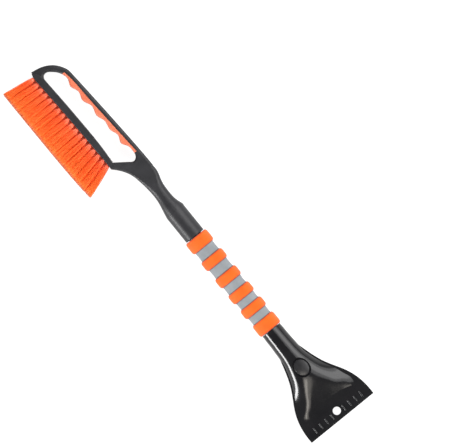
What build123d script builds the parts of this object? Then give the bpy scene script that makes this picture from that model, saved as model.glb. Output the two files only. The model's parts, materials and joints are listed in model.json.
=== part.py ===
from build123d import *
import os
from math import cos, hypot, pi, sin

os.makedirs("parts", exist_ok=True)

# Snow brush with a detachable ice scraper, lying flat. Millimetres.
# +X runs along the pole towards the scraper edge, +Y is away from the bristles
# and +Z is the side with the release button. Y and Z below are counted from
# the pole's axis, which the planes and points add back.

AXIS_Y = 15.1
AXIS_Z = 19.3

# Pole and the two sockets it sits in
TUBE_R = 11.0
TUBE_WALL = 1.2
TUBE_START = -44.0
TUBE_END = 257.0
SOCKET_R = 16.1
SOCKET_MOUTH = -2.9

# Brush head
LOOP_HALF = 12.0
LOOP_ROUND = 3.4
BAR_HALF = 14.0
NECK_CUT = -124.0

NECK_SCREW_X = -24.0
SCREW_HEAD_R = 3.4
SCREW_HEAD = 2.4
SCREW_SHANK_R = 1.8

# Bristle tufts
TUFT_FIRST = -332.5
TUFT_PITCH = 9.78
TUFT_DEPTH = 6.5
TUFT_ROOT_R = 2.6
TUFT_TIP_R = 4.6
STAPLE = (3.4, 1.5, 0.5)
# Each row: height of its roots, height of its tips, and 1 if it sits half a pitch along
ROWS = ((-10.1, -13.9, 1), (-3.4, -4.9, 0), (3.4, 4.9, 1), (10.1, 13.9, 0))

# Foam grip: where each band ends, orange first
FOAM_STARTS = -2.2
BAND_ENDS = (17.9, 33.5, 49.9, 65.9, 82.7, 96.6, 113.1, 125.3, 141.4, 154.0, 174.8)
FOAM_CREST = 19.3
FOAM_VALLEY = 15.9
FOAM_EDGE = 16.2
FOAM_SHOULDER = 4.6

# Scraper: distance along X, half width, height of the crown
STATIONS = (
    (175.4, 16.6, 16.5),
    (200.0, 16.9, 16.6),
    (215.0, 18.2, 16.9),
    (230.0, 21.0, 17.2),
    (245.0, 25.6, 17.6),
    (260.0, 31.6, 17.6),
    (275.0, 39.8, 16.2),
    (290.0, 48.3, 12.8),
    (305.0, 54.3, 7.6),
    (320.0, 57.6, 3.6),
)
SECTIONS = 20
CAVITY_SECTIONS = (4, 17)
EDGE_X = 343.0
EDGE_HALF = 58.6
BLADE_HALF = 1.75
RIM = 1.6
SHELL_WALL = 2.3
HOLLOW_X = 434.0
HOLLOW_R = 127.0
HOLLOW_SLOPE = 0.38
SLEEVE_R = 12.4
SLEEVE_BORE = 11.06
SLEEVE_START = 175.6
SLEEVE_END = 260.0
HANG_X = 329.3
HANG_R = 6.1
RIB_X = 332.2
RIB_LONG = 11.4
RIB_R = 1.2
RIB_PITCH = 10.8

# Release button
BUTTON_X = 246.5
BUTTON_LONG = 12.7
BUTTON_WIDE = 10.2
FLOOR_TOP = 14.4
FLOOR_UNDER = 13.0
BUTTON_UNDER = 14.7
BUTTON_TOP = 17.1
BUTTON_CROWN = 54.0
BUTTON_PLAY = 0.35
RECESS_LOW = (13.8, 12.2)
RECESS_HIGH = (18.8, 17.2)
RECESS_DEPTH = 5.0
PIN_R = 3.0

STIFFENER_X = 252.0
STIFFENER = 2.2
SHELL_SCREW_HEAD_R = 2.5
SHELL_SCREW_HEAD_Z = -4.0
SHELL_SCREW_HEAD = 1.8
SHELL_SCREW_R = 1.2
SCREWS = ((224.0, 15.4), (224.0, -15.4), (270.0, 25.0), (270.0, -25.0))


def plan(z):
    """Plane seen from above, at a height over the pole's axis."""
    return Plane(origin=(0, AXIS_Y, AXIS_Z + z))


def across(x, y=0.0):
    """Plane across the pole, its own axes along +Y and +Z."""
    return Plane(origin=(x, AXIS_Y + y, AXIS_Z), x_dir=(0, 1, 0), z_dir=(1, 0, 0))


SIDE = Plane(origin=(0, AXIS_Y, AXIS_Z), x_dir=(1, 0, 0), z_dir=(0, -1, 0))
POLE = Axis((0, AXIS_Y, AXIS_Z), (1, 0, 0))


def ring(x0, x1, outer, inner):
    """A plain ring or bush around the pole's axis."""
    with BuildSketch(across(x0)) as face:
        Circle(outer)
        Circle(inner, mode=Mode.SUBTRACT)
    return extrude(face.sketch, amount=x1 - x0, mode=Mode.PRIVATE)


def rod(x0, x1, radius):
    """A cylinder on the pole's axis."""
    with BuildSketch(across(x0)) as face:
        Circle(radius)
    return extrude(face.sketch, amount=x1 - x0, mode=Mode.PRIVATE)


def post(x, y, z0, z1, radius):
    """A cylinder standing along Z."""
    with BuildSketch(Plane(origin=(x, AXIS_Y + y, AXIS_Z + z0))) as face:
        Circle(radius)
    return extrude(face.sketch, amount=z1 - z0, mode=Mode.PRIVATE)


def block(x, y, z, long, wide, high):
    """A box about its centre."""
    return Location((x, AXIS_Y + y, AXIS_Z + z)) * Box(long, wide, high, mode=Mode.PRIVATE)


# ---------------------------------------------------------------- brush head


def bar_under(x):
    """Underside of the bristle bar."""
    u = (-165 - x) / 170
    return -33.9 - 1.2 * u - 3.4 * u * u


BAR_TOP = [
    (-323, -27.0),
    (-303, -26.2),
    (-273.6, -25.1),
    (-244, -24.4),
    (-214.5, -23.9),
    (-184.9, -24.4),
    (-164.2, -26.2),
]
BAR_UNDER = [(x, bar_under(x)) for x in (-334, -300, -260, -210, -162)]
END_OUTSIDE = [
    (-343.0, -36.0),
    (-339.2, -17.7),
    (-332.9, -5.9),
    (-323.8, 3.0),
    (-314.9, 8.1),
    (-305.0, 10.1),
]
TOP_OUTSIDE = [
    END_OUTSIDE[-1],
    (-270.0, 12.2),
    (-240.0, 13.8),
    (-210.0, 15.3),
    (-180.0, 16.6),
    (-150.0, 17.7),
    (NECK_CUT, 18.1),
]
# Inside of the loop: round the end, along the five finger bumps, to the strut
LOOP_INSIDE = [
    (-315.0, -29.8),
    (-323.0, -27.0),
    (-327.9, -24.2),
    (-329.2, -19.2),
    (-325.5, -12.4),
    (-318.0, -5.0),
    (-309.0, -0.6),
    (-301.5, 0.2),
    (-291.3, -3.6),
    (-277.0, 0.8),
    (-264.0, -2.8),
    (-248.4, 2.7),
    (-233.7, -0.7),
    (-218.9, 3.6),
    (-204.1, 1.6),
    (-190.0, 5.5),
    (-178.3, 1.6),
    (-169.5, 6.6),
    (-158.5, 8.0),
    (-151.5, 6.9),
    (-147.5, 3.9),
    (-146.1, 0.3),
    (-147.0, -3.1),
    (-149.5, -6.5),
]

# The loop as one rounded blank, split below into its hard frame and soft grip.
# Both its legs end inside the bristle bar.
with BuildPart() as loop_blank:
    with BuildSketch(plan(-LOOP_HALF)):
        with BuildLine():
            Spline(*END_OUTSIDE, tangents=[(0.12, 1), (1, 0.06)])
            Spline(*TOP_OUTSIDE)
            Line(TOP_OUTSIDE[-1], (NECK_CUT, -14.2))
            Spline((NECK_CUT, -14.2), (-140.0, -20.3), (-148.6, -26.2), (-157.4, -34.2))
            Line((-157.4, -34.2), (-169.5, -33.4))
            Line((-169.5, -33.4), LOOP_INSIDE[-1])
            Spline(*reversed(LOOP_INSIDE))
            Line(LOOP_INSIDE[0], (-315.0, -34.6))
            Line((-315.0, -34.6), END_OUTSIDE[0])
        make_face()
    extrude(amount=2 * LOOP_HALF)
    rims = [
        edge
        for edge in loop_blank.faces().filter_by(Axis.Z).edges()
        if edge.length > 30 and edge.center().X < NECK_CUT - 1 and edge.center().Y > AXIS_Y - 30
    ]
    fillet(rims, LOOP_ROUND)

# Where the soft grip meets the hard back bar
GRIP_SEAM = [(-312.5, 2.6), (-300.0, 4.6), (-273.6, 5.9), (-214.5, 8.7), (-154.6, 12.3)]

with BuildSketch(plan(-LOOP_HALF - 1)) as grip_area:
    with BuildLine():
        Spline(*GRIP_SEAM)
        Polyline(GRIP_SEAM[-1], (-154.6, -8), (-312.5, -8), GRIP_SEAM[0])
    make_face()

with BuildPart() as loop_grip:
    add(loop_blank.part)
    extrude(grip_area.sketch, amount=2 * LOOP_HALF + 2, mode=Mode.INTERSECT)
loop_grip.part.label = "loop_grip"
export_step(loop_grip.part, "parts/loop_grip.step")


def tuft(row, i):
    """Root and tip of one tuft, from its row and place in it."""
    root_z, tip_z, shifted = row
    x = TUFT_FIRST + TUFT_PITCH * (i + 0.5 * shifted)
    u = (x + 249) / 83
    x_tip = x + 5 * u + 5.25 * u**2 + 6.45 * u**3
    v = (x_tip + 343) / 198
    y_tip = -88.3 + 0.9 * v + 3.0 * v**6
    root = Vector(x, AXIS_Y + bar_under(x) + TUFT_DEPTH, AXIS_Z + root_z)
    tip = Vector(x_tip, AXIS_Y + y_tip, AXIS_Z + tip_z)
    return root, tip


def tufts_in(row):
    """Every tuft of a row: 18, or 17 where the row is shifted by half a pitch."""
    return [tuft(row, i) for i in range(18 - row[2])]


def tuft_cone(root, tip, extra=0.0):
    """One tuft as a plain cone, or with extra the hole that holds it."""
    length = (tip - root).length
    base_up = (Align.CENTER, Align.CENTER, Align.MIN)
    cone = Cone(TUFT_ROOT_R + extra, TUFT_TIP_R + extra, length, align=base_up, mode=Mode.PRIVATE)
    return Plane(origin=root, z_dir=tip - root) * cone


def staple(root):
    """The flat wire that pins a tuft, just beyond its folded root."""
    return block(root.X, root.Y - AXIS_Y + 1.7, root.Z - AXIS_Z, *STAPLE)


ALL_TUFTS = [pair for row in ROWS for pair in tufts_in(row)]

NECK = (
    # x, low side, high side, half thickness, corner radius
    (-126.0, -14.3, 17.9, 11.9, 4.0),
    (-117.0, -13.0, 17.9, 12.0, 5.0),
    (-108.0, -11.6, 16.4, 12.0, 6.2),
    (-97.0, -10.6, 13.2, 12.0, 8.2),
    (-86.0, -10.2, 11.8, 12.0, 9.6),
    (-74.0, -11.1, 11.7, 12.8, 10.4),
    (-62.0, -13.5, 13.2, 14.6, 12.4),
    (-49.0, -16.1, 16.1, 16.1, 16.0),
)

with BuildPart() as brush_frame:
    add(loop_blank.part)
    extrude(grip_area.sketch, amount=2 * LOOP_HALF + 2, mode=Mode.SUBTRACT)
    sections = []
    for x, low, high, half, corner in NECK:
        with BuildSketch(across(x, (low + high) / 2), mode=Mode.PRIVATE) as cut:
            RectangleRounded(high - low, 2 * half, corner)
        sections.append(cut.sketch)
    loft(sections)
    add(rod(-49.0, SOCKET_MOUTH, SOCKET_R))
    fillet(brush_frame.edges().group_by(Axis.X)[-1], 1.5)
    add(rod(TUBE_START, SOCKET_MOUTH, TUBE_R), mode=Mode.SUBTRACT)
    # bristle bar, thicker than the loop
    with BuildPart(mode=Mode.PRIVATE) as bar:
        with BuildSketch(plan(-BAR_HALF)):
            with BuildLine():
                Spline(*BAR_TOP)
                Line(BAR_TOP[-1], (-158.6, -30.6))
                Line((-158.6, -30.6), BAR_UNDER[-1])
                Spline(*reversed(BAR_UNDER))
                Line(BAR_UNDER[0], (-341.0, -36.6))
                Spline((-341.0, -36.6), (-332.5, -29.2), BAR_TOP[0])
            make_face()
        extrude(amount=2 * BAR_HALF)
        fillet([e for e in bar.faces().filter_by(Axis.Z).edges() if e.length > 100], 1.0)
    add(bar.part)
    add([tuft_cone(root, tip, 0.1) for root, tip in ALL_TUFTS], mode=Mode.SUBTRACT)
    add([staple(root) for root, tip in ALL_TUFTS], mode=Mode.SUBTRACT)
    head_seat = post(NECK_SCREW_X, 0, -SOCKET_R - 1, -SOCKET_R + SCREW_HEAD, SCREW_HEAD_R + 0.2)
    add(head_seat, mode=Mode.SUBTRACT)
    add(post(NECK_SCREW_X, 0, -SOCKET_R, -TUBE_R + 2, SCREW_SHANK_R + 0.05), mode=Mode.SUBTRACT)
brush_frame.part.label = "brush_frame"
export_step(brush_frame.part, "parts/brush_frame.step")

for number, row in enumerate(ROWS, 1):
    with BuildPart() as bristle_row:
        add([tuft_cone(root, tip) for root, tip in tufts_in(row)])
    bristle_row.part.label = f"bristle_row_{number}"
    export_step(bristle_row.part, f"parts/bristle_row_{number}.step")

with BuildPart() as tuft_anchors:
    add([staple(root) for root, tip in ALL_TUFTS])
tuft_anchors.part.label = "tuft_anchors"
export_step(tuft_anchors.part, "parts/tuft_anchors.step")

# ---------------------------------------------------------------------- pole

with BuildPart() as handle_tube:
    add(ring(TUBE_START, TUBE_END, TUBE_R, TUBE_R - TUBE_WALL))
    add(post(BUTTON_X, 0, 5, TUBE_R + 1, PIN_R + 0.3), mode=Mode.SUBTRACT)
    add(post(NECK_SCREW_X, 0, -TUBE_R - 1, -5, SCREW_SHANK_R + 0.05), mode=Mode.SUBTRACT)
handle_tube.part.label = "handle_tube"
export_step(handle_tube.part, "parts/handle_tube.step")

with BuildPart() as neck_screw:
    add(post(NECK_SCREW_X, 0, -SOCKET_R + 0.5, -SOCKET_R + SCREW_HEAD, SCREW_HEAD_R))
    fillet(neck_screw.edges().group_by(Axis.Z)[0], 1.0)
    add(post(NECK_SCREW_X, 0, -SOCKET_R + SCREW_HEAD, -6.5, SCREW_SHANK_R))
    for turn in (0, 90):
        with BuildSketch(Plane(origin=(NECK_SCREW_X, AXIS_Y, AXIS_Z - SOCKET_R))):
            Rectangle(3.6, 0.8, rotation=turn)
        extrude(amount=1.4, mode=Mode.SUBTRACT)
neck_screw.part.label = "neck_screw"
export_step(neck_screw.part, "parts/neck_screw.step")

with BuildPart() as tube_end_cap:
    add(ring(TUBE_END - 5.0, TUBE_END, TUBE_R - TUBE_WALL, TUBE_R - TUBE_WALL - 1.3))
    add(rod(TUBE_END, TUBE_END + 1.5, TUBE_R - 0.45))
tube_end_cap.part.label = "tube_end_cap"
export_step(tube_end_cap.part, "parts/tube_end_cap.step")

with BuildPart() as snap_spring:
    with BuildSketch(SIDE.offset(-3.0)):
        with BuildLine():
            lower = Line((249.0, -8.9), (222.0, -8.9))
            bend = RadiusArc(lower @ 1, (222.0, -4.9), 2.0)
            Spline(bend @ 1, (232.0, 3.4), (241.0, 8.6), (250.5, 8.6), tangents=[(1, 0.1), (1, 0)])
        trace(line_width=0.6)
    extrude(amount=6.0)
    add(post(BUTTON_X, 0, 8.6, 13.2, PIN_R))
    fillet(snap_spring.edges().group_by(Axis.Z)[-1], 1.2)
snap_spring.part.label = "snap_spring"
export_step(snap_spring.part, "parts/snap_spring.step")

# ----------------------------------------------------------------- foam grip

starts = (FOAM_STARTS,) + BAND_ENDS[:-1]
for number, (x0, x1) in enumerate(zip(starts, BAND_ENDS)):
    mid = (x0 + x1) / 2
    raised = number % 2 == 0
    name = f"foam_orange_{number // 2 + 1}" if raised else f"foam_grey_{number // 2 + 1}"
    with BuildPart() as band:
        with BuildSketch(SIDE):
            with BuildLine():
                if raised:
                    rise = FOAM_CREST - FOAM_EDGE
                    a, b = x0 + FOAM_SHOULDER, x1 - FOAM_SHOULDER
                    EllipticalCenterArc((a, FOAM_EDGE), FOAM_SHOULDER, rise, start_angle=90, arc_size=90)
                    EllipticalCenterArc((b, FOAM_EDGE), FOAM_SHOULDER, rise, start_angle=0, arc_size=90)
                    Line((a, FOAM_CREST), (b, FOAM_CREST))
                else:
                    ThreePointArc((x0, FOAM_EDGE), (mid, FOAM_VALLEY), (x1, FOAM_EDGE))
                Polyline((x0, FOAM_EDGE), (x0, TUBE_R), (x1, TUBE_R), (x1, FOAM_EDGE))
            make_face()
        revolve(axis=POLE)
    band.part.label = name
    export_step(band.part, f"parts/{name}.step")

# ------------------------------------------------------------------- scraper


def dome_section(x, half, crown, inset, side):
    """Cross-section of the dome: a round crown that the hollow above the blade cuts into."""
    rim = RIM * min(1, max(0, (x - 205) / 25))
    wide = half - rim - inset
    # round in the throat, bell-shaped where the dome flares
    flank = 1 + 2 * min(1, max(0, (x - 225) / 65)) ** 2
    foot = 0.15 + 0.35 * min(1, max(0, (x - 290) / 20))
    points = []
    for i in range(13):
        c = cos(pi * (1 - i / 12))
        s = sin(pi * i / 12)
        y = wide * c
        z = (crown - inset) * (foot * s + (1 - foot) * s**flank) if 0 < i < 12 else 0
        face = BLADE_HALF + (hypot(HOLLOW_X - x, y) - HOLLOW_R) * HOLLOW_SLOPE - inset
        face = max(0.5, face)
        z = z / (1 + (z / face) ** 6) ** (1 / 6)
        points.append((y, side * z))
    with BuildSketch(across(x)) as cut:
        with BuildLine():
            # evenly spaced parameters keep every section's curve alike for the loft
            even = [i / 12 for i in range(13)]
            add(Edge.make_spline([Vector(*point) for point in points], parameters=even))
            Line(points[-1], points[0])
        make_face()
    return cut.sketch


def blade_plate(z0, blade_only=False):
    """Half the thickness of the rim and blade, or only of the blade beyond the dome's end."""
    side = [(206, 14.0), (217, 17.4)] + [(x, h) for x, h, _ in STATIONS[3:]] + [(EDGE_X, EDGE_HALF)]
    with BuildSketch(plan(z0)) as outline:
        with BuildLine():
            Spline(*side)
            Spline(*[(x, -y) for x, y in side])
            Line(side[0], (side[0][0], -side[0][1]))
            Line(side[-1], (side[-1][0], -side[-1][1]))
        make_face()
        if blade_only:
            with Locations((HOLLOW_X, 0)):
                Circle(HOLLOW_R + 3, mode=Mode.INTERSECT)
    return extrude(outline.sketch, amount=BLADE_HALF, mode=Mode.PRIVATE)


# The dome's outline and crown as one smooth curve, cut into evenly spread sections
PROFILE = Edge.make_spline([Vector(*station) for station in STATIONS])
DOME = [tuple(PROFILE @ (i / SECTIONS)) for i in range(SECTIONS + 1)]


def dome(side):
    return loft([dome_section(*station, 0, side) for station in DOME], mode=Mode.PRIVATE)


def cavity(side):
    """What a shell leaves open: the dome less its wall, ribs, screw posts and button floor."""
    first, last = CAVITY_SECTIONS
    inner = [dome_section(*station, SHELL_WALL, side) for station in DOME[first : last + 1]]
    open_space = loft(inner, mode=Mode.PRIVATE)
    open_space -= block(STIFFENER_X, 0, 0, STIFFENER, 120, 60)
    for x, y in SCREWS:
        open_space -= post(x, y, -20, 20, 3.0 if side > 0 else 3.9)
    if side > 0:
        with BuildSketch(Plane(origin=(BUTTON_X, AXIS_Y, AXIS_Z + FLOOR_UNDER))) as floor:
            Ellipse(19.5, 17.0)
        open_space -= extrude(floor.sketch, amount=10, mode=Mode.PRIVATE)
    return open_space


def ice_rib(y):
    """A half-round rib with round ends, sunk halfway into the blade."""
    length = RIB_LONG - 2 * RIB_R
    rib = Cylinder(RIB_R, length, rotation=(0, 90, 0), mode=Mode.PRIVATE)
    for end in (-length / 2, length / 2):
        rib += Pos(end, 0, 0) * Sphere(RIB_R, mode=Mode.PRIVATE)
    return Location((RIB_X, AXIS_Y + y, AXIS_Z + BLADE_HALF)) * rib


def button_oval(z, grow):
    with BuildSketch(Plane(origin=(BUTTON_X, AXIS_Y, AXIS_Z + z))) as oval:
        Ellipse(BUTTON_LONG + grow, BUTTON_WIDE + grow)
    return oval.sketch


with BuildPart() as scraper_front_shell:
    add(dome(1))
    add(blade_plate(0))
    add(blade_plate(-BLADE_HALF, blade_only=True))
    add(cavity(1), mode=Mode.SUBTRACT)
    add(rod(SLEEVE_START - 1, SLEEVE_END, SLEEVE_R), mode=Mode.SUBTRACT)
    for x, y in SCREWS:
        add(post(x, y, -1, 6.5, SHELL_SCREW_R), mode=Mode.SUBTRACT)
    # sloping recess around the button, and the hole it moves in
    with BuildSketch(Plane(origin=(BUTTON_X, AXIS_Y, AXIS_Z + FLOOR_TOP)), mode=Mode.PRIVATE) as low:
        Ellipse(*RECESS_LOW)
    rim = Plane(origin=(BUTTON_X, AXIS_Y, AXIS_Z + FLOOR_TOP + RECESS_DEPTH))
    with BuildSketch(rim, mode=Mode.PRIVATE) as high:
        Ellipse(*RECESS_HIGH)
    loft([low.sketch, high.sketch], mode=Mode.SUBTRACT)
    extrude(button_oval(FLOOR_UNDER - 1, BUTTON_PLAY), amount=4, mode=Mode.SUBTRACT)
    # pockets for the button's two hooks
    for side in (1, -1):
        add(block(BUTTON_X, side * 11.2, FLOOR_UNDER - 0.9, 9.6, 3.6, 1.8), mode=Mode.SUBTRACT)
    # bevel down to the scraping edge
    with BuildSketch(SIDE.offset(-70)):
        with BuildLine():
            bevel = (EDGE_X - 4.2, BLADE_HALF)
            Polyline(bevel, (EDGE_X + 1, -1.3), (EDGE_X + 1, 3), bevel)
        make_face()
    extrude(amount=140, mode=Mode.SUBTRACT)
    add([ice_rib(i * RIB_PITCH) for i in (-4, -3, -2, -1, 1, 2, 3, 4)])
    add(post(HANG_X, 0, -5, 5, HANG_R), mode=Mode.SUBTRACT)
scraper_front_shell.part.label = "scraper_front_shell"
export_step(scraper_front_shell.part, "parts/scraper_front_shell.step")

with BuildPart() as scraper_back_shell:
    add(dome(-1))
    add(blade_plate(-BLADE_HALF))
    add(cavity(-1), mode=Mode.SUBTRACT)
    add(rod(SLEEVE_START - 1, SLEEVE_END, SLEEVE_R), mode=Mode.SUBTRACT)
    add(post(HOLLOW_X, 0, -30, 1, HOLLOW_R + 3.2), mode=Mode.SUBTRACT)
    for x, y in SCREWS:
        add(post(x, y, -20, SHELL_SCREW_HEAD_Z, SHELL_SCREW_HEAD_R + 0.2), mode=Mode.SUBTRACT)
        add(post(x, y, -5, 1, SHELL_SCREW_R + 0.3), mode=Mode.SUBTRACT)
scraper_back_shell.part.label = "scraper_back_shell"
export_step(scraper_back_shell.part, "parts/scraper_back_shell.step")

with BuildPart() as shell_screws:
    top = SHELL_SCREW_HEAD_Z - SHELL_SCREW_HEAD
    for x, y in SCREWS:
        add(post(x, y, top, SHELL_SCREW_HEAD_Z, SHELL_SCREW_HEAD_R))
        add(post(x, y, SHELL_SCREW_HEAD_Z, 6.0, SHELL_SCREW_R))
        for turn in (0, 90):
            with BuildSketch(Plane(origin=(x, AXIS_Y + y, AXIS_Z + top))):
                Rectangle(2.8, 0.7, rotation=turn)
            extrude(amount=0.9, mode=Mode.SUBTRACT)
shell_screws.part.label = "shell_screws"
export_step(shell_screws.part, "parts/shell_screws.step")

with BuildPart() as socket_sleeve:
    add(ring(SLEEVE_START, SLEEVE_END, SLEEVE_R, SLEEVE_BORE))
    add(post(BUTTON_X, 0, 5, SLEEVE_R + 1, PIN_R + 0.3), mode=Mode.SUBTRACT)
socket_sleeve.part.label = "socket_sleeve"
export_step(socket_sleeve.part, "parts/socket_sleeve.step")

with BuildPart() as release_button:
    extrude(button_oval(BUTTON_UNDER, 0), amount=4)
    with Locations((BUTTON_X, AXIS_Y, AXIS_Z + BUTTON_TOP - BUTTON_CROWN)):
        Sphere(BUTTON_CROWN, mode=Mode.INTERSECT)
    fillet([e for e in release_button.edges() if e.length > 40 and e.center().Z > AXIS_Z + 15], 0.7)
    add(post(BUTTON_X, 0, 13.4, BUTTON_UNDER + 0.5, 2.4))
    for side in (1, -1):
        add(block(BUTTON_X, side * 9.3, 13.3, 8, 0.9, 4.2))
        add(block(BUTTON_X, side * 10.3, 11.9, 8, 2.9, 1.4))
release_button.part.label = "release_button"
export_step(release_button.part, "parts/release_button.step")
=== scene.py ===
import json
import math
import random

import bpy
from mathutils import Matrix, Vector, noise


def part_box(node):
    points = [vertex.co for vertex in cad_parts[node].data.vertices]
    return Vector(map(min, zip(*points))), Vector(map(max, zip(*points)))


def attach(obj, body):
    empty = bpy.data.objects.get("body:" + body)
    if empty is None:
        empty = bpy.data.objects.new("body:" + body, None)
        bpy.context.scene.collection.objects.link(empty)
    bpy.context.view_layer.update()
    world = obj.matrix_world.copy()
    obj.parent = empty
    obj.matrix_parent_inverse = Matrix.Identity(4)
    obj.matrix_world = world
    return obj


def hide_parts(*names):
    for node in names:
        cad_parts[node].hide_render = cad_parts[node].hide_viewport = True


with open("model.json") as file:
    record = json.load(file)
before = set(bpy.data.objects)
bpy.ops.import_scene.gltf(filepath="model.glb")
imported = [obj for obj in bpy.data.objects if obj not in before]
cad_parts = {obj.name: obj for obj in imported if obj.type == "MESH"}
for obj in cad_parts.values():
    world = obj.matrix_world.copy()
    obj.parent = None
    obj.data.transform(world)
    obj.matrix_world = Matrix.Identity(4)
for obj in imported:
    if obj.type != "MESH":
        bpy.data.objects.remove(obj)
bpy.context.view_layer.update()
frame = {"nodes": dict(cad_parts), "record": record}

MM = 0.001
tube_low, tube_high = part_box("handle_tube")
AXIS_Y = (tube_low[1] + tube_high[1]) / 2
AXIS_Z = (tube_low[2] + tube_high[2]) / 2


# ------------------------------------------------------------------ materials


class Material:
    """A Principled material, with short calls for the nodes that drive it."""

    def __init__(self, name, **values):
        self.material = bpy.data.materials.new(name)
        self.material.use_nodes = True
        self.nodes = self.material.node_tree.nodes
        self.links = self.material.node_tree.links
        self.shader = self.nodes["Principled BSDF"]
        for socket, value in values.items():
            self.shader.inputs[socket.replace("_", " ")].default_value = value
        self.coords = self.nodes.new("ShaderNodeTexCoord").outputs["Object"]

    def noise(self, scale, detail=3.0, rough=0.55, stretch=(1, 1, 1)):
        mapping = self.nodes.new("ShaderNodeMapping")
        mapping.inputs["Scale"].default_value = stretch
        self.links.new(self.coords, mapping.inputs["Vector"])
        texture = self.nodes.new("ShaderNodeTexNoise")
        texture.inputs["Scale"].default_value = scale
        texture.inputs["Detail"].default_value = detail
        texture.inputs["Roughness"].default_value = rough
        self.links.new(mapping.outputs["Vector"], texture.inputs["Vector"])
        return texture.outputs["Fac"]

    def cells(self, scale):
        texture = self.nodes.new("ShaderNodeTexVoronoi")
        texture.inputs["Scale"].default_value = scale
        self.links.new(self.coords, texture.inputs["Vector"])
        return texture.outputs["Distance"]

    def attribute(self, name):
        node = self.nodes.new("ShaderNodeAttribute")
        node.attribute_name = name
        return node.outputs["Fac"]

    def ramp(self, value, *stops):
        node = self.nodes.new("ShaderNodeValToRGB")
        elements = node.color_ramp.elements
        while len(elements) < len(stops):
            elements.new(0.5)
        for element, (place, colour) in zip(elements, stops):
            element.position = place
            element.color = (*colour, 1)
        self.links.new(value, node.inputs["Fac"])
        return node.outputs["Color"]

    def span(self, value, low, high, from_low=0.0, from_high=1.0):
        node = self.nodes.new("ShaderNodeMapRange")
        node.inputs["From Min"].default_value = from_low
        node.inputs["From Max"].default_value = from_high
        node.inputs["To Min"].default_value = low
        node.inputs["To Max"].default_value = high
        self.links.new(value, node.inputs["Value"])
        return node.outputs["Result"]

    def mix(self, factor, a, b, kind="MIX"):
        node = self.nodes.new("ShaderNodeMix")
        node.data_type = "RGBA"
        node.blend_type = kind
        for socket, value in ((node.inputs[0], factor), (node.inputs[6], a), (node.inputs[7], b)):
            if isinstance(value, (int, float)):
                socket.default_value = value
            elif isinstance(value, tuple):
                socket.default_value = (*value, 1)
            else:
                self.links.new(value, socket)
        return node.outputs[2]

    def drive(self, socket, value):
        self.links.new(value, self.shader.inputs[socket])

    def bump(self, *layers):
        """Layers of (height, distance in metres), one on top of another."""
        normal = None
        for height, distance in layers:
            node = self.nodes.new("ShaderNodeBump")
            node.inputs["Strength"].default_value = 1.0
            node.inputs["Distance"].default_value = distance
            self.links.new(height, node.inputs["Height"])
            if normal:
                self.links.new(normal, node.inputs["Normal"])
            normal = node.outputs["Normal"]
        self.links.new(normal, self.shader.inputs["Normal"])


def frame_plastic():
    """Charcoal moulded plastic with a fine spark-eroded grain and handling marks."""
    m = Material("frame_plastic", Specular_IOR_Level=0.26)
    wear = m.noise(38, 4)
    colour = m.ramp(wear, (0.3, (0.015, 0.015, 0.017)), (0.7, (0.024, 0.024, 0.027)))
    m.drive("Base Color", colour)
    m.drive("Roughness", m.span(m.noise(60, 3), 0.38, 0.48))
    m.bump((m.noise(2600, 2), 0.00001), (m.noise(70, 2), 0.0001))
    return m.material


def scraper_plastic():
    """Glossy black injection moulding: faint flow waviness and hairline scratches."""
    m = Material("scraper_plastic", Specular_IOR_Level=0.34)
    colour = m.ramp(m.noise(30, 3), (0.3, (0.005, 0.005, 0.006)), (0.7, (0.009, 0.009, 0.010)))
    m.drive("Base Color", colour)
    scratches = m.noise(120, 6, 0.7, (1, 9, 1))
    m.drive("Roughness", m.span(scratches, 0.11, 0.20, 0.35, 0.75))
    m.bump((m.noise(16, 1), 0.00010), (m.noise(900, 3, 0.6, (1, 14, 1)), 0.000002))
    return m.material


def button_plastic():
    """Black moulding like the scraper's, but finely grained."""
    m = Material("button_plastic", Specular_IOR_Level=0.45)
    colour = m.ramp(m.noise(80, 3), (0.3, (0.008, 0.008, 0.009)), (0.7, (0.014, 0.014, 0.016)))
    m.drive("Base Color", colour)
    m.drive("Roughness", m.span(m.noise(220, 4), 0.24, 0.38))
    m.bump((m.noise(1800, 2), 0.00002))
    return m.material


def grip_rubber():
    """Soft orange overmould, dusty and finely stippled."""
    m = Material("grip_rubber", Specular_IOR_Level=0.35, Sheen_Weight=0.2, Sheen_Roughness=0.5)
    colour = m.ramp(m.noise(45, 4), (0.3, (0.57, 0.122, 0.055)), (0.7, (0.67, 0.160, 0.080)))
    m.drive("Base Color", colour)
    m.drive("Roughness", m.span(m.noise(90, 3), 0.5, 0.66))
    m.bump((m.cells(1500), 0.00004), (m.noise(60, 2), 0.0001))
    return m.material


def foam(name, dark, light):
    """Closed-cell foam: small round pores painted darker as shade, a cut skin, soft blotches, and
    painted shade where one ring meets the next.
    """
    m = Material(name, Specular_IOR_Level=0.2, Sheen_Weight=0.12, Sheen_Roughness=0.6)
    blotches = m.noise(55, 4)
    colour = m.ramp(blotches, (0.25, dark), (0.75, light))
    pores = m.span(m.cells(1150), 0.0, 1.0, 0.05, 0.45)
    # painted shade: the colour darkens where one ring meets the next
    seam_shade = m.ramp(
        m.attribute("edge"),
        (0.0, (1, 1, 1)),
        (0.75, (0.62, 0.50, 0.42)),
        (1.0, (0.22, 0.16, 0.14)),
    )
    # painted shade: the colour is darker in the middle of each pore, and this darkened copy is mixed in
    shade = m.ramp(pores, (0.0, (0.62, 0.62, 0.62)), (0.45, (1, 1, 1)))
    pore_shaded = m.mix(0.55, colour, m.mix(1.0, colour, shade, "MULTIPLY"))
    m.drive("Base Color", m.mix(1.0, pore_shaded, seam_shade, "MULTIPLY"))
    m.drive("Roughness", m.span(m.noise(300, 3), 0.78, 0.95))
    m.bump((pores, 0.00022), (m.noise(420, 4), 0.00018), (m.noise(90, 3), 0.0005))
    return m.material


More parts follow.
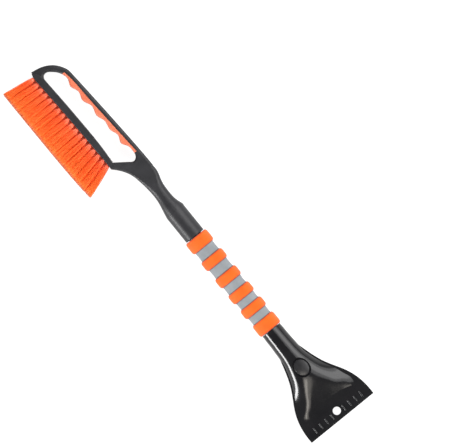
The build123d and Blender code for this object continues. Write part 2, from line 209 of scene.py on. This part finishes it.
def bristle_nylon():
    """Orange nylon: a painted highlight makes it pink just above the roots, redder above that, paler
    towards the tips.
    """
    # painted light: a faint glow, set by the emission strength
    m = Material("bristle_nylon", Specular_IOR_Level=0.35, Emission_Strength=0.09)
    along = m.attribute("along")
    fibre = m.attribute("fibre")
    # painted highlight: the pink band just above the roots
    base = m.ramp(
        along,
        (0.0, (0.90, 0.090, 0.035)),
        (0.10, (1.0, 0.210, 0.110)),
        (0.24, (1.0, 0.130, 0.030)),
        (0.60, (1.0, 0.152, 0.022)),
        (0.92, (1.0, 0.205, 0.034)),
        (1.0, (0.42, 0.090, 0.030)),
    )
    tint = m.ramp(fibre, (0.0, (0.88, 0.72, 0.70)), (0.5, (1.0, 1.0, 1.0)), (1.0, (1.0, 1.28, 1.4)))
    colour = m.mix(1.0, base, tint, "MULTIPLY")
    m.drive("Base Color", colour)
    # painted light: the fibres glow faintly in their own colour, in place of light passed on from fibre
    # to fibre
    m.drive("Emission Color", colour)
    m.drive("Roughness", m.span(fibre, 0.38, 0.6))
    m.bump((m.noise(3000, 2, 0.5, (1, 0.2, 1)), 0.00001))
    return m.material


def metal(name, colour, rough, stretch=(0.05, 1, 1)):
    """Drawn or rolled metal with fine lines along its length."""
    m = Material(name, Metallic=1.0)
    lines = m.noise(2200, 4, 0.6, stretch)
    dull = tuple(0.8 * c for c in colour)
    m.drive("Base Color", m.ramp(lines, (0.3, dull), (0.7, colour)))
    m.drive("Roughness", m.span(lines, rough - 0.08, rough + 0.1))
    m.bump((lines, 0.00001))
    return m.material


def inner_plastic():
    """Plain dark moulding for the parts inside."""
    m = Material("inner_plastic")
    colour = m.ramp(m.noise(60, 3), (0.3, (0.03, 0.03, 0.033)), (0.7, (0.05, 0.05, 0.055)))
    m.drive("Base Color", colour)
    m.drive("Roughness", m.span(m.noise(200, 3), 0.45, 0.6))
    m.bump((m.noise(1500, 2), 0.00002))
    return m.material


MATERIALS = {
    "frame_plastic": frame_plastic(),
    "scraper_plastic": scraper_plastic(),
    "button_plastic": button_plastic(),
    "grip_rubber": grip_rubber(),
    "foam_orange": foam("foam_orange", (0.80, 0.088, 0.003), (0.90, 0.118, 0.006)),
    "foam_grey": foam("foam_grey", (0.180, 0.200, 0.217), (0.235, 0.255, 0.272)),
    "bristle_nylon": bristle_nylon(),
    "staple_steel": metal("staple_steel", (0.62, 0.61, 0.58), 0.35),
    "screw_steel": metal("screw_steel", (0.55, 0.55, 0.56), 0.3, (1, 1, 0.05)),
    "spring_steel": metal("spring_steel", (0.5, 0.5, 0.52), 0.28),
    "tube_aluminium": metal("tube_aluminium", (0.045, 0.045, 0.05), 0.32),
    "inner_plastic": inner_plastic(),
}

SLOT_OF = {part["node"]: part["material_slot"] for part in frame["record"]["subparts"]}
for node, obj in frame["nodes"].items():
    obj.data.materials.clear()
    obj.data.materials.append(MATERIALS[SLOT_OF[node]])


# ------------------------------------------------------------- mesh helpers


def mesh_object(name, verts, faces, slot, smooth=True):
    mesh = bpy.data.meshes.new(name)
    mesh.from_pydata(verts, [], faces)
    mesh.update()
    for polygon in mesh.polygons:
        polygon.use_smooth = smooth
    obj = bpy.data.objects.new(name, mesh)
    bpy.context.scene.collection.objects.link(obj)
    mesh.materials.append(MATERIALS[slot])
    return obj


# ----------------------------------------------------------------- foam grip

# Radii of the rings where they meet, in the middle of a grey one, and inside
FOAM_EDGE, FOAM_VALLEY, FOAM_INNER = 16.2 * MM, 15.9 * MM, 11.05 * MM
FOAM_SHOULDER = 4.6 * MM
FOAM_DENTS, FOAM_GRAIN, FOAM_SUNK = 0.22 * MM, 0.07 * MM, 0.1 * MM
# Width of the painted shade at each end of a ring, for each colour
SEAM_SHADE_WIDTH = {"foam_orange": 2.4 * MM, "foam_grey": 1.2 * MM}
STEPS_ROUND, STEPS_ALONG = 96, 26


def foam_profile(x0, x1, crest, raised):
    """Half the ring's cross-section along the pole, from inside to outside and back."""
    profile = [(x0, FOAM_INNER)]
    for j in range(STEPS_ALONG + 1):
        # closer together at both ends, where the shoulders turn
        t = 0.5 - 0.5 * math.cos(math.pi * j / STEPS_ALONG)
        x = x0 + (x1 - x0) * t
        if raised:
            inset = min(x - x0, x1 - x, FOAM_SHOULDER) / FOAM_SHOULDER
            r = FOAM_EDGE + (crest - FOAM_EDGE) * math.sqrt(max(0.0, 1 - (1 - inset) ** 2))
        else:
            r = FOAM_EDGE - (FOAM_EDGE - FOAM_VALLEY) * math.sin(math.pi * t)
        profile.append((x, r))
    profile.append((x1, FOAM_INNER))
    return profile


def foam_band(node, slot):
    """One foam ring: the CAD ring's profile with pressed, slightly uneven skin."""
    low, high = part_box(node)
    x0, x1 = low[0], high[0]
    profile = foam_profile(x0, x1, (high[2] - low[2]) / 2, slot == "foam_orange")
    rows = len(profile)
    verts, faces, edges = [], [], []
    for i, (x, r) in enumerate(profile):
        # painted shade mask: 1 at the ring's ends, fading to 0 inwards
        edge_here = max(0.0, 1 - min(x - x0, x1 - x) / SEAM_SHADE_WIDTH[slot])
        for k in range(STEPS_ROUND):
            a = 2 * math.pi * k / STEPS_ROUND
            p = Vector((x, math.cos(a) * r, math.sin(a) * r))
            grain = noise.noise(p * 60) * FOAM_DENTS + noise.noise(p * 260) * FOAM_GRAIN
            lift = 0 if i in (0, rows - 1) else grain - FOAM_SUNK
            verts.append((x, AXIS_Y + math.cos(a) * (r + lift), AXIS_Z + math.sin(a) * (r + lift)))
            edges.append(edge_here)
    for i in range(rows):
        this, following = i * STEPS_ROUND, ((i + 1) % rows) * STEPS_ROUND
        for k in range(STEPS_ROUND):
            beside = (k + 1) % STEPS_ROUND
            faces.append((this + k, following + k, following + beside, this + beside))
    ring = mesh_object(f"{node}_skin", verts, faces, slot)
    ring.data.attributes.new("edge", "FLOAT", "POINT").data.foreach_set("value", edges)
    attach(ring, "handle")
    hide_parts(node)


for node in frame["nodes"]:
    if node.startswith("foam_"):
        foam_band(node, SLOT_OF[node])


# ------------------------------------------------------------- finger grip


GRIP_VOXEL = 0.55 * MM
# Height and half width of the parting line, and depths of wear and stipple, in millimetres
PARTING, PARTING_HALF = 0.14, 0.45
GRIP_WEAR, GRIP_STIPPLE = 0.05, 0.02


def finger_grip():
    """The soft grip: softened edges, a raised parting line and a hand-worn surface."""
    grip = bpy.data.objects.new("finger_grip", frame["nodes"]["loop_grip"].data.copy())
    bpy.context.scene.collection.objects.link(grip)
    remesh = grip.modifiers.new("remesh", "REMESH")
    remesh.mode = "VOXEL"
    remesh.voxel_size = GRIP_VOXEL
    soften = grip.modifiers.new("soften", "SMOOTH")
    soften.factor = 0.5
    soften.iterations = 3
    graph = bpy.context.evaluated_depsgraph_get()
    mesh = bpy.data.meshes.new_from_object(grip.evaluated_get(graph))
    grip.modifiers.clear()
    grip.data = mesh
    moved = []
    for vertex in mesh.vertices:
        p = vertex.co
        grain = GRIP_WEAR * noise.noise(p * 120) + GRIP_STIPPLE * noise.noise(p * 600)
        parting = PARTING * math.exp(-(((p.z - AXIS_Z) / (PARTING_HALF * MM)) ** 2))
        moved.extend(p + vertex.normal * (grain + parting) * MM)
    mesh.vertices.foreach_set("co", moved)
    for polygon in mesh.polygons:
        polygon.use_smooth = True
    mesh.materials.clear()
    mesh.materials.append(MATERIALS["grip_rubber"])
    mesh.update()
    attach(grip, "handle")
    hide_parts("loop_grip")


finger_grip()

# ------------------------------------------------------------------ bristles

# Place of the first tuft, distance between tufts, and their radii, in millimetres
FIRST, PITCH = -332.5, 9.78
ROOT_R, TIP_R = 2.6, 4.6
TUFTS = 18
# Height over the axis at the root and the tip, and whether the row stands half a pitch along
ROWS = ((-10.1, -13.9, 1), (-3.4, -4.9, 0), (3.4, 4.9, 1), (10.1, 13.9, 0))
FIBRES_PER_TUFT = 150
FIBRE_R = 0.27 * MM
FIBRE_STEPS = 6
FIBRE_SIDES = 3
TIP_FLARE = 0.5 * MM
FAN_OUT = 0.55
random.seed(7)


def bar_under(x):
    """Underside of the bristle bar, from its axis, in millimetres."""
    u = (-165 - x) / 170
    return -33.9 - 1.2 * u - 3.4 * u * u


def tuft_line(row, i):
    """Root, at the bar's surface, and tip of a tuft, in metres."""
    root_z, tip_z, shifted = row
    x = FIRST + PITCH * (i + 0.5 * shifted)
    u = (x + 249) / 83
    x_tip = x + 5 * u + 5.25 * u**2 + 6.45 * u**3
    v = (x_tip + 343) / 198
    y_tip = -88.3 + 0.9 * v + 3.0 * v**6
    root = Vector((x * MM, AXIS_Y + (bar_under(x) + 3.0) * MM, AXIS_Z + root_z * MM))
    tip = Vector((x_tip * MM, AXIS_Y + y_tip * MM, AXIS_Z + tip_z * MM))
    return root, tip


def bristle_row(number, row):
    """All the fibres of one row of tufts, each a thin three-sided rod with a slight wave."""
    verts, faces, along, tone = [], [], [], []
    for i in range(TUFTS - row[2]):
        root, tip = tuft_line(row, i)
        tuft_tone = random.uniform(-0.12, 0.12)
        for _ in range(FIBRES_PER_TUFT):
            angle = random.uniform(0, 2 * math.pi)
            spread = math.sqrt(random.random())
            across = Vector((math.cos(angle), 0, math.sin(angle))) * spread
            start = root + across * (ROOT_R - 0.35) * MM
            end = tip + across * TIP_R * MM
            end.x += TIP_FLARE * across.x
            end += Vector((random.gauss(0, 0.5), random.uniform(-0.5, 1.2), random.gauss(0, 0.4))) * MM
            sway = Vector((random.gauss(0, 0.35), 0, random.gauss(0, 0.35))) * MM
            crimp_phase, crimp = random.uniform(0, 6.3), random.uniform(0.08, 0.22) * MM
            shade = min(1, max(0, 0.5 + tuft_tone + random.gauss(0, 0.2)))
            base = len(verts)
            for j in range(FIBRE_STEPS + 1):
                t = j / FIBRE_STEPS
                centre = start.lerp(end, t) + sway * math.sin(math.pi * t)
                # the tuft fans out soonest near its root
                centre.x += (end.x - tip.x - start.x + root.x) * (t**FAN_OUT - t)
                centre.x += crimp * math.sin(crimp_phase + 15 * t)
                centre.z += crimp * math.cos(crimp_phase + 13 * t)
                radius = FIBRE_R * (1 - 0.35 * t)
                for k in range(FIBRE_SIDES):
                    a = 2 * math.pi * k / FIBRE_SIDES + angle
                    verts.append(
                        (centre.x + radius * math.cos(a), centre.y, centre.z + radius * math.sin(a))
                    )
                    along.append(t)
                    tone.append(shade)
            for j in range(FIBRE_STEPS):
                for k in range(FIBRE_SIDES):
                    a = base + FIBRE_SIDES * j + k
                    b = base + FIBRE_SIDES * j + (k + 1) % FIBRE_SIDES
                    faces.append((a, b, b + FIBRE_SIDES, a + FIBRE_SIDES))
            faces.append((base + 2, base + 1, base))
            last = base + FIBRE_SIDES * FIBRE_STEPS
            faces.append((last, last + 1, last + 2))
    obj = mesh_object(f"bristle_fibres_{number}", verts, faces, "bristle_nylon")
    for name, values in (("along", along), ("fibre", tone)):
        layer = obj.data.attributes.new(name, "FLOAT", "POINT")
        layer.data.foreach_set("value", values)
    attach(obj, "handle")
    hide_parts(f"bristle_row_{number}")


for number, row in enumerate(ROWS, 1):
    bristle_row(number, row)


# --------------------------------------------------------------------- stage


FLOOR_HALF, FLOOR_Z = 4.0, -0.0002


def floor():
    mesh = bpy.data.meshes.new("floor")
    corners = ((-1, -1), (1, -1), (1, 1), (-1, 1))
    mesh.from_pydata([(x * FLOOR_HALF, y * FLOOR_HALF, FLOOR_Z) for x, y in corners], [], [(0, 1, 2, 3)])
    obj = bpy.data.objects.new("floor", mesh)
    bpy.context.scene.collection.objects.link(obj)
    material = bpy.data.materials.new("floor_paper")
    material.use_nodes = True
    shader = material.node_tree.nodes["Principled BSDF"]
    shader.inputs["Base Color"].default_value = (0.22, 0.22, 0.22, 1)
    shader.inputs["Roughness"].default_value = 0.9
    shader.inputs["Specular IOR Level"].default_value = 0.05
    # a translucent table, lit evenly from beneath
    shader.inputs["Emission Color"].default_value = (1, 1, 1, 1)
    shader.inputs["Emission Strength"].default_value = 0.92
    mesh.materials.append(material)


floor()


def lamp(name, place, target, size, power, colour=(1, 1, 1)):
    """A flat lamp of the given width and height, turned towards a target."""
    light = bpy.data.lights.new(name, "AREA")
    light.energy = power
    light.color = colour
    light.shape = "RECTANGLE"
    light.size, light.size_y = size
    obj = bpy.data.objects.new(name, light)
    obj.location = place
    aim = Vector(target) - Vector(place)
    obj.rotation_euler = aim.to_track_quat("-Z", "Y").to_euler()
    bpy.context.scene.collection.objects.link(obj)


# Wide soft box behind the pole, low bright strip on the bristles' side, warm lamp beyond
# the scraper. The cores make the middle of a lamp brighter, so its reflection fades out.
HEAD_SIDE, POLE, SCRAPER = (0.1, 0, 0), (0.05, 0, 0), (0.28, -0.02, 0.03)
WARM = (1.0, 0.94, 0.85)
lamp("key", (0.2, 1.45, 1.55), HEAD_SIDE, (3.0, 2.2), 58)
lamp("key_core", (0.2, 1.40, 1.50), HEAD_SIDE, (2.6, 1.0), 24)
lamp("strip", (0.05, -1.6, 0.45), POLE, (0.75, 0.46), 34)
lamp("warm", (1.12, -0.46, 1.6), SCRAPER, (0.9, 0.75), 8, WARM)
lamp("warm_core", (1.00, -0.46, 1.65), SCRAPER, (0.35, 0.4), 3.0, WARM)

# The room is pale at the horizon and dark overhead.
HORIZON, OVERHEAD, DARK_FROM = 0.80, 0.22, 0.55
world = bpy.data.worlds.new("studio")
world.use_nodes = True
background = world.node_tree.nodes["Background"]
direction = world.node_tree.nodes.new("ShaderNodeTexCoord")
height = world.node_tree.nodes.new("ShaderNodeSeparateXYZ")
fade = world.node_tree.nodes.new("ShaderNodeMapRange")
fade.inputs["From Max"].default_value = DARK_FROM
fade.inputs["To Min"].default_value = HORIZON
fade.inputs["To Max"].default_value = OVERHEAD
world.node_tree.links.new(direction.outputs["Generated"], height.inputs["Vector"])
world.node_tree.links.new(height.outputs["Z"], fade.inputs["Value"])
world.node_tree.links.new(fade.outputs["Result"], background.inputs["Strength"])
background.inputs["Color"].default_value = (1, 1, 1, 1)
bpy.context.scene.world = world
bpy.context.scene.view_settings.view_transform = "Standard"

# The camera looks straight down from far off, turned so that the pole runs from
# the upper left to the lower right, 51 degrees below the level.
CAMERA_HEIGHT = 9.0
TURN = math.radians(50.94)
SEEN_WIDTH = 0.6752
camera = bpy.data.cameras.new("camera")
camera.sensor_width = 36.0
camera.lens = 36.0 * CAMERA_HEIGHT / SEEN_WIDTH
camera.clip_start, camera.clip_end = 0.1, 50.0
view = bpy.data.objects.new("camera", camera)
bpy.context.scene.collection.objects.link(view)
view.rotation_euler = (0, 0, TURN)
AIM_X, AIM_Y = 0.0125, 0.0661
view.location = (AIM_X, AIM_Y, CAMERA_HEIGHT + AXIS_Z)
bpy.context.scene.camera = view
